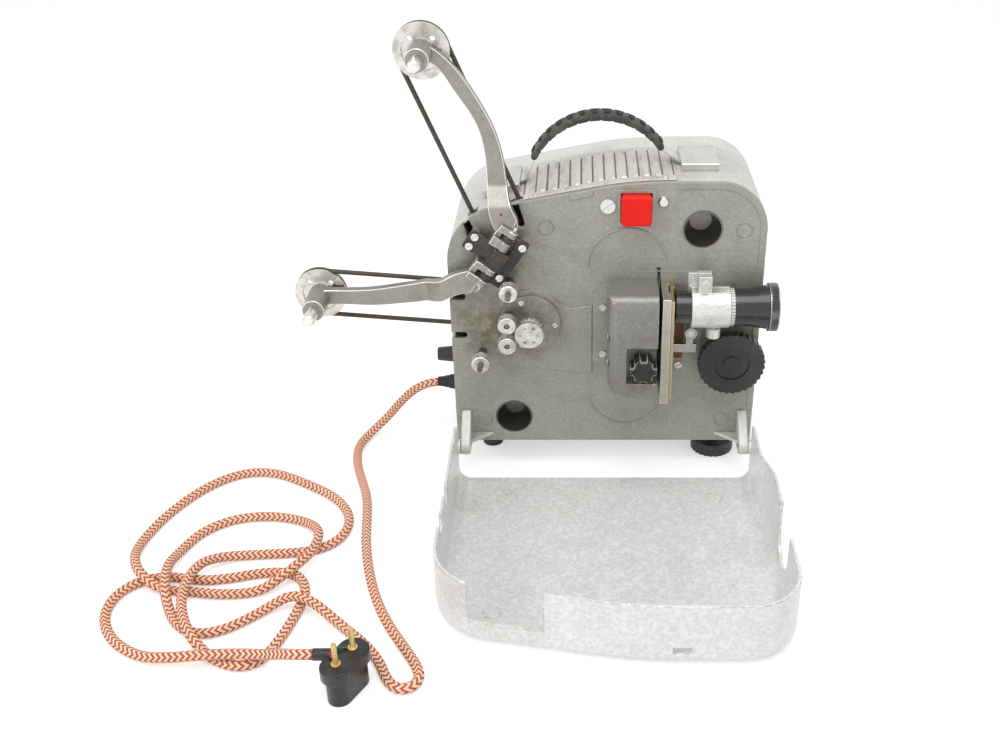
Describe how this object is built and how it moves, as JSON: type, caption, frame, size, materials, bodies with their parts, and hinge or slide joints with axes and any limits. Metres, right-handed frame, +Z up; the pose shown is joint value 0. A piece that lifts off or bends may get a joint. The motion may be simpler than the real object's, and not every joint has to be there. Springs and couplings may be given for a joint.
{
  "type": "movie projector",
  "caption": "Portable narrow-film projector: upright cast case, fold-down lid, two folding belt-driven reel arms, film sprocket and rollers, lamp house, lens and mains cord with plug.",
  "frame": {"origin": "centre of the footprint of the projector with its arms up and its lid open, on the table, without the cord", "axes": "+Z up, +X the way the lens points, +Y to the back of the casing; the lid opens toward -Y"},
  "size_m": [0.5411, 0.4484, 0.4065],
  "materials": {
    "casing_paint": "silver-grey hammer paint, slightly worn",
    "plate_paint": "grey-green hammer paint, slightly worn",
    "lid_paint": "silver hammer paint, slightly worn",
    "lamp_paint": "dark grey hammer paint",
    "vent_steel": "plain steel with brownish dirt",
    "tray_steel": "plain steel, satin",
    "strap": "ribbed dark grey strap, matt",
    "cast_arm": "as cast, lightly brushed edges",
    "turned_aluminium": "turned and polished",
    "pulley_aluminium": "cast with turned rim",
    "steel": "bright steel, satin",
    "chrome": "polished",
    "black_plastic": "moulded black resin, semi-gloss",
    "black_bracket": "black enamel",
    "red_plastic": "glossy red",
    "black_metal": "black lacquer, semi-gloss",
    "lens_glass": "coated glass",
    "bulb_glass": "clear glass",
    "mirror": "silvered glass",
    "black_rubber": "matt black rubber",
    "cord_braid": "red and cream zig-zag cotton braid",
    "brass": "slightly tarnished brass",
    "brown_board": "brown hard board",
    "motor_iron": "machined iron and dark enamel",
    "gear_steel": "machined steel"
  },
  "bodies": {
    "projector": {"arm_bracket": "black_bracket", "bearing_frame": "gear_steel", "carry_handle": "strap", "condenser": "lens_glass", "cord_gland": "black_rubber", "drive_belt": "black_rubber", "drive_motor": "motor_iron", "face_screws": "steel", "front_plate": "plate_paint", "gate_plate": "steel", "gate_strip": "brown_board", "handle_fittings": "tray_steel", "hinge_ears": "plate_paint", "hinge_pins": "steel", "lamp_base": "plate_paint", "lamp_house": "lamp_paint", "lamp_mirror": "mirror", "lamp_socket": "steel", "lens_holder": "turned_aluminium", "lower_belt": "black_rubber", "main_casing": "casing_paint", "plug_body": "black_plastic", "plug_pins": "brass", "power_cord": "cord_braid", "pressure_plate": "brass", "projection_lamp": "bulb_glass", "rear_cover": "casing_paint", "roller_posts": "steel", "rubber_feet": "black_rubber", "speed_rheostat": "motor_iron", "spindle_cups": "steel", "sprocket_disc": "plate_paint", "switch_frame": "black_plastic", "upper_belt": "black_rubber", "vent_plate": "vent_steel"},
    "lid": {"lid": "lid_paint"},
    "upper_arm": {"upper_arm": "cast_arm"},
    "lower_arm": {"lower_arm": "cast_arm"},
    "upper_reel": {"upper_spindle": "steel", "upper_pulley": "pulley_aluminium"},
    "lower_reel": {"lower_spindle": "steel", "lower_pulley": "pulley_aluminium"},
    "top_roller": {"top_roller": "turned_aluminium"},
    "middle_roller": {"middle_roller": "turned_aluminium"},
    "low_roller": {"low_roller": "turned_aluminium"},
    "left_roller": {"left_roller": "turned_aluminium"},
    "film_sprocket": {"sprocket": "turned_aluminium"},
    "hand_knob": {"inching_knob": "black_plastic"},
    "shutter_shaft": {"cross_shaft": "gear_steel", "shutter": "black_metal"},
    "motor_rotor": {"motor_shaft": "gear_steel"},
    "belt_drive": {"belt_drive_pulley": "pulley_aluminium"},
    "lens": {"lens_barrel": "black_metal", "lens_front_ring": "chrome", "lens_glass": "lens_glass"},
    "switch": {"switch_cap": "red_plastic"},
    "star": {"star_knob": "black_plastic"},
    "speed": {"speed_knob": "black_plastic"},
    "raising_foot": {"elevating_foot": "black_plastic"},
    "gate_release": {"gate_lever": "steel"}
  },
  "joints": [
    {"name": "lid_hinge", "type": "hinge", "parent": "projector", "child": "lid", "pos_m": [0.06275, 0.03975, 0.0362], "axis": [1, 0, 0], "range_deg": [-83, 28]},
    {"name": "upper_arm_fold", "type": "hinge", "parent": "projector", "child": "upper_arm", "pos_m": [-0.03045, 0.04505, 0.21698], "axis": [0.5434, 0, 0.8395], "range_deg": [0, 180], "deforming": ["upper_belt"]},
    {"name": "lower_arm_fold", "type": "hinge", "parent": "projector", "child": "lower_arm", "pos_m": [-0.02872, 0.04505, 0.2158], "axis": [0.5835, 0, 0.8121], "range_deg": [0, 180], "deforming": ["lower_belt"]},
    {"name": "upper_reel_spin", "type": "hinge", "parent": "upper_arm", "child": "upper_reel", "pos_m": [-0.08325, 0.07305, 0.384], "axis": [0, -1, 0], "continuous": true},
    {"name": "lower_reel_spin", "type": "hinge", "parent": "lower_arm", "child": "lower_reel", "pos_m": [-0.18525, 0.07705, 0.173], "axis": [0, -1, 0], "continuous": true},
    {"name": "top_roller_spin", "type": "hinge", "parent": "projector", "child": "top_roller", "pos_m": [-0.01955, 0.04155, 0.1897], "axis": [0, -1, 0], "continuous": true},
    {"name": "middle_roller_spin", "type": "hinge", "parent": "projector", "child": "middle_roller", "pos_m": [-0.02155, 0.04155, 0.1597], "axis": [0, -1, 0], "continuous": true},
    {"name": "low_roller_spin", "type": "hinge", "parent": "projector", "child": "low_roller", "pos_m": [-0.02185, 0.04155, 0.1403], "axis": [0, -1, 0], "continuous": true},
    {"name": "left_roller_spin", "type": "hinge", "parent": "projector", "child": "left_roller", "pos_m": [-0.04545, 0.04155, 0.1224], "axis": [0, -1, 0], "continuous": true},
    {"name": "hand_knob_turn", "type": "hinge", "parent": "projector", "child": "hand_knob", "pos_m": [0.17275, 0.04605, 0.12], "axis": [0, -1, 0], "continuous": true},
    {"name": "shutter_turn", "type": "hinge", "parent": "projector", "child": "shutter_shaft", "pos_m": [0.10775, 0.09305, 0.145], "axis": [1, 0, 0], "continuous": true},
    {"name": "motor_turn", "type": "hinge", "parent": "projector", "child": "motor_rotor", "pos_m": [0.06275, 0.12105, 0.076], "axis": [1, 0, 0], "continuous": true},
    {"name": "belt_drive_turn", "type": "hinge", "parent": "projector", "child": "belt_drive", "pos_m": [0.01075, 0.07505, 0.157], "axis": [0, -1, 0], "continuous": true},
    {"name": "sprocket_turn", "type": "hinge", "parent": "projector", "child": "film_sprocket", "pos_m": [-0.00275, 0.04305, 0.1512], "axis": [0, -1, 0], "continuous": true},
    {"name": "lens_focus", "type": "slide", "parent": "projector", "child": "lens", "axis": [1, 0, 0], "range_m": [0, 0.008]},
    {"name": "switch_press", "type": "slide", "parent": "projector", "child": "switch", "axis": [0, 1, 0], "range_m": [0, 0.0025], "stiffness_N_per_m": 900, "springref_m": -0.001},
    {"name": "lamp_adjust", "type": "hinge", "parent": "projector", "child": "star", "pos_m": [0.09445, 0.01805, 0.128], "axis": [0, -1, 0], "range_deg": [-60, 60]},
    {"name": "speed_set", "type": "hinge", "parent": "projector", "child": "speed", "pos_m": [-0.08225, 0.09305, 0.103], "axis": [-1, 0, 0], "range_deg": [0, 270]},
    {"name": "foot_raise", "type": "slide", "parent": "projector", "child": "raising_foot", "axis": [0, 0, -1], "range_m": [0, 0.012]},
    {"name": "gate_open", "type": "hinge", "parent": "projector", "child": "gate_release", "pos_m": [0.13675, 0.05105, 0.146], "axis": [0, -1, 0], "range_deg": [0, 10]}
  ],
  "couplings": [
    {"joint": "shutter_turn", "follows": "hand_knob_turn", "ratio": 1},
    {"joint": "motor_turn", "follows": "hand_knob_turn", "ratio": 2.2},
    {"joint": "sprocket_turn", "follows": "hand_knob_turn", "ratio": -0.055556},
    {"joint": "belt_drive_turn", "follows": "hand_knob_turn", "ratio": 0.054084}
  ]
}
